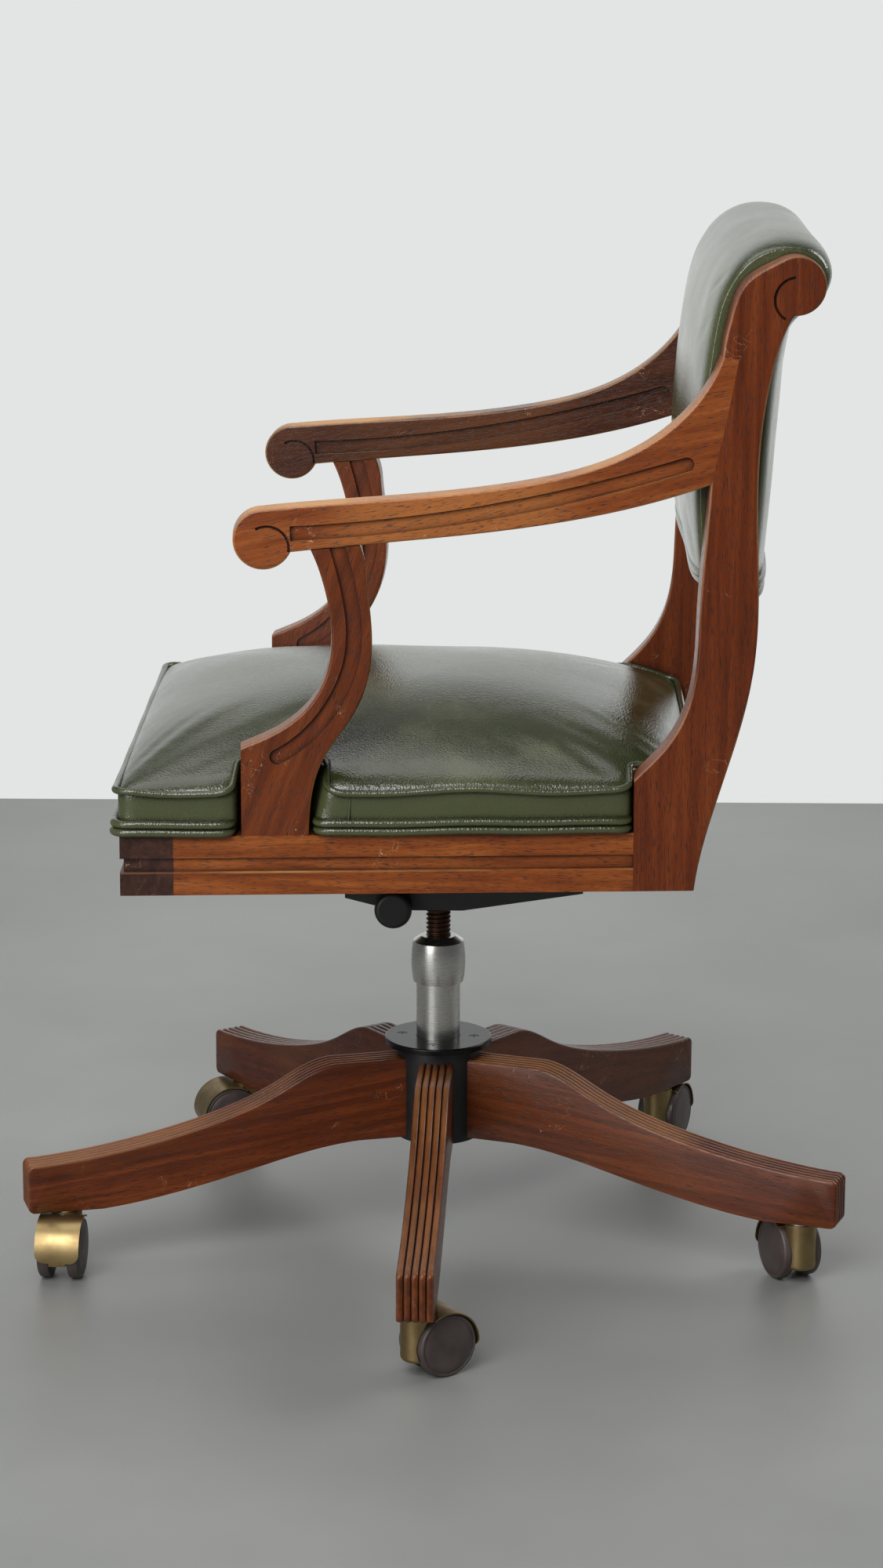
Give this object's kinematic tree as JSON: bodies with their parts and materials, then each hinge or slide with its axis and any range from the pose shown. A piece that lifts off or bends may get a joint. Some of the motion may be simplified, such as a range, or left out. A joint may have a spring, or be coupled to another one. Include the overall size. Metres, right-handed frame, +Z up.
{
  "type": "swivel desk chair",
  "caption": "Wooden swivel armchair with scrolled arms, a padded leather seat and back, a screw-lift column with tilt, and a splayed reeded base on twin-wheel brass castors.",
  "frame": {"origin": "on the floor, under the axis of the column", "axes": "+Z up, the chair faces -Y, +X is the side with the tilt tension knob"},
  "size_m": [0.6986, 0.7249, 0.9264],
  "materials": {
    "polished_wood": "satin",
    "plain_wood": "matte",
    "leather_cushion": "satin",
    "black_paint": "satin",
    "steel": "satin",
    "oiled_steel": "matte",
    "brass": "satin",
    "wheel_plastic": "satin",
    "bush_plastic": "matte"
  },
  "bodies": {
    "base": {"hub_tube": "black_paint", "hub_flange": "black_paint", "flange_screws": "steel", "leg_bolts": "steel", "castor_sockets": "steel", "column_bushes": "bush_plastic", "thrust_washer": "steel", "leg_1": "polished_wood", "leg_2": "polished_wood", "leg_3": "polished_wood", "leg_4": "polished_wood", "leg_5": "polished_wood"},
    "column": {"column_tube": "steel"},
    "nut": {"nut_collar": "steel"},
    "lift": {"spindle": "oiled_steel", "spindle_stop": "steel", "spindle_head": "black_paint", "tilt_pin": "steel"},
    "seat": {"tilt_housing": "black_paint", "housing_screws": "steel", "tension_tube": "black_paint", "front_rail": "polished_wood", "back_rail": "polished_wood", "corner_blocks": "plain_wood", "seat_board": "plain_wood", "seat_battens": "plain_wood", "crest_rail": "plain_wood", "lower_back_rail": "plain_wood", "seat_cushion": "leather_cushion", "back_pad": "leather_cushion", "arm_east": "polished_wood", "arm_west": "polished_wood", "arm_support_east": "polished_wood", "arm_support_west": "polished_wood", "back_post_east": "polished_wood", "back_post_west": "polished_wood", "side_rail_east": "polished_wood", "side_rail_west": "polished_wood"},
    "knob": {"tension_knob": "black_paint"},
    "castor_1": {"castor_1_hood": "brass", "castor_1_pins": "steel"},
    "castor_1_wheel_a": {"castor_1_wheel_a": "wheel_plastic"},
    "castor_1_wheel_b": {"castor_1_wheel_b": "wheel_plastic"},
    "castor_2": {"castor_2_hood": "brass", "castor_2_pins": "steel"},
    "castor_2_wheel_a": {"castor_2_wheel_a": "wheel_plastic"},
    "castor_2_wheel_b": {"castor_2_wheel_b": "wheel_plastic"},
    "castor_3": {"castor_3_hood": "brass", "castor_3_pins": "steel"},
    "castor_3_wheel_a": {"castor_3_wheel_a": "wheel_plastic"},
    "castor_3_wheel_b": {"castor_3_wheel_b": "wheel_plastic"},
    "castor_4": {"castor_4_hood": "brass", "castor_4_pins": "steel"},
    "castor_4_wheel_a": {"castor_4_wheel_a": "wheel_plastic"},
    "castor_4_wheel_b": {"castor_4_wheel_b": "wheel_plastic"},
    "castor_5": {"castor_5_hood": "brass", "castor_5_pins": "steel"},
    "castor_5_wheel_a": {"castor_5_wheel_a": "wheel_plastic"},
    "castor_5_wheel_b": {"castor_5_wheel_b": "wheel_plastic"}
  },
  "joints": [
    {"name": "seat_swivel", "type": "hinge", "parent": "base", "child": "column", "pos_m": [0, 0, 0.2], "axis": [0, 0, 1], "continuous": true},
    {"name": "nut_turn", "type": "hinge", "parent": "column", "child": "nut", "pos_m": [0, 0, 0.26], "axis": [0, 0, 1], "range_deg": [-5430, 2280]},
    {"name": "height_slide", "type": "slide", "parent": "column", "child": "lift", "axis": [0, 0, 1], "range_m": [-0.025, 0.06]},
    {"name": "seat_tilt", "type": "hinge", "parent": "lift", "child": "seat", "pos_m": [0, 0, 0.3523], "axis": [-1, 0, 0], "range_deg": [0, 12], "stiffness_Nm_per_rad": 60, "springref_deg": -8.59},
    {"name": "tension_turn", "type": "hinge", "parent": "seat", "child": "knob", "pos_m": [0, -0.039, 0.3213], "axis": [1, 0, 0], "continuous": true},
    {"name": "castor_1_swivel", "type": "hinge", "parent": "base", "child": "castor_1", "pos_m": [0.34079, -0.0119, 0.056], "axis": [0, 0, 1], "continuous": true},
    {"name": "castor_1_spin_a", "type": "hinge", "parent": "castor_1", "child": "castor_1_wheel_a", "pos_m": [0.32975, 0.00478, 0.027], "axis": [-0.8339, -0.5519, 0], "continuous": true},
    {"name": "castor_1_spin_b", "type": "hinge", "parent": "castor_1", "child": "castor_1_wheel_b", "pos_m": [0.32975, 0.00478, 0.027], "axis": [-0.8339, -0.5519, 0], "continuous": true},
    {"name": "castor_2_swivel", "type": "hinge", "parent": "base", "child": "castor_2", "pos_m": [0.11663, 0.32044, 0.056], "axis": [0, 0, 1], "continuous": true},
    {"name": "castor_2_spin_a", "type": "hinge", "parent": "castor_2", "child": "castor_2_wheel_a", "pos_m": [0.09822, 0.31262, 0.027], "axis": [0.3907, -0.9205, 0], "continuous": true},
    {"name": "castor_2_spin_b", "type": "hinge", "parent": "castor_2", "child": "castor_2_wheel_b", "pos_m": [0.09822, 0.31262, 0.027], "axis": [0.3907, -0.9205, 0], "continuous": true},
    {"name": "castor_3_swivel", "type": "hinge", "parent": "base", "child": "castor_3", "pos_m": [-0.26871, 0.20994, 0.056], "axis": [0, 0, 1], "continuous": true},
    {"name": "castor_3_spin_a", "type": "hinge", "parent": "castor_3", "child": "castor_3_wheel_a", "pos_m": [-0.28712, 0.21776, 0.027], "axis": [-0.3907, -0.9205, 0], "continuous": true},
    {"name": "castor_3_spin_b", "type": "hinge", "parent": "castor_3", "child": "castor_3_wheel_b", "pos_m": [-0.28712, 0.21776, 0.027], "axis": [-0.3907, -0.9205, 0], "continuous": true},
    {"name": "castor_4_swivel", "type": "hinge", "parent": "base", "child": "castor_4", "pos_m": [-0.2827, -0.19068, 0.056], "axis": [0, 0, 1], "continuous": true},
    {"name": "castor_4_spin_a", "type": "hinge", "parent": "castor_4", "child": "castor_4_wheel_a", "pos_m": [-0.27586, -0.20948, 0.027], "axis": [0.9397, 0.342, 0], "continuous": true},
    {"name": "castor_4_spin_b", "type": "hinge", "parent": "castor_4", "child": "castor_4_wheel_b", "pos_m": [-0.27586, -0.20948, 0.027], "axis": [0.9397, 0.342, 0], "continuous": true},
    {"name": "castor_5_swivel", "type": "hinge", "parent": "base", "child": "castor_5", "pos_m": [0.09399, -0.32779, 0.056], "axis": [0, 0, 1], "continuous": true},
    {"name": "castor_5_spin_a", "type": "hinge", "parent": "castor_5", "child": "castor_5_wheel_a", "pos_m": [0.11392, -0.32953, 0.027], "axis": [0.0872, 0.9962, 0], "continuous": true},
    {"name": "castor_5_spin_b", "type": "hinge", "parent": "castor_5", "child": "castor_5_wheel_b", "pos_m": [0.11392, -0.32953, 0.027], "axis": [0.0872, 0.9962, 0], "continuous": true}
  ],
  "couplings": [
    {"joint": "nut_turn", "follows": "height_slide", "rad_per_m": -1570.8}
  ]
}
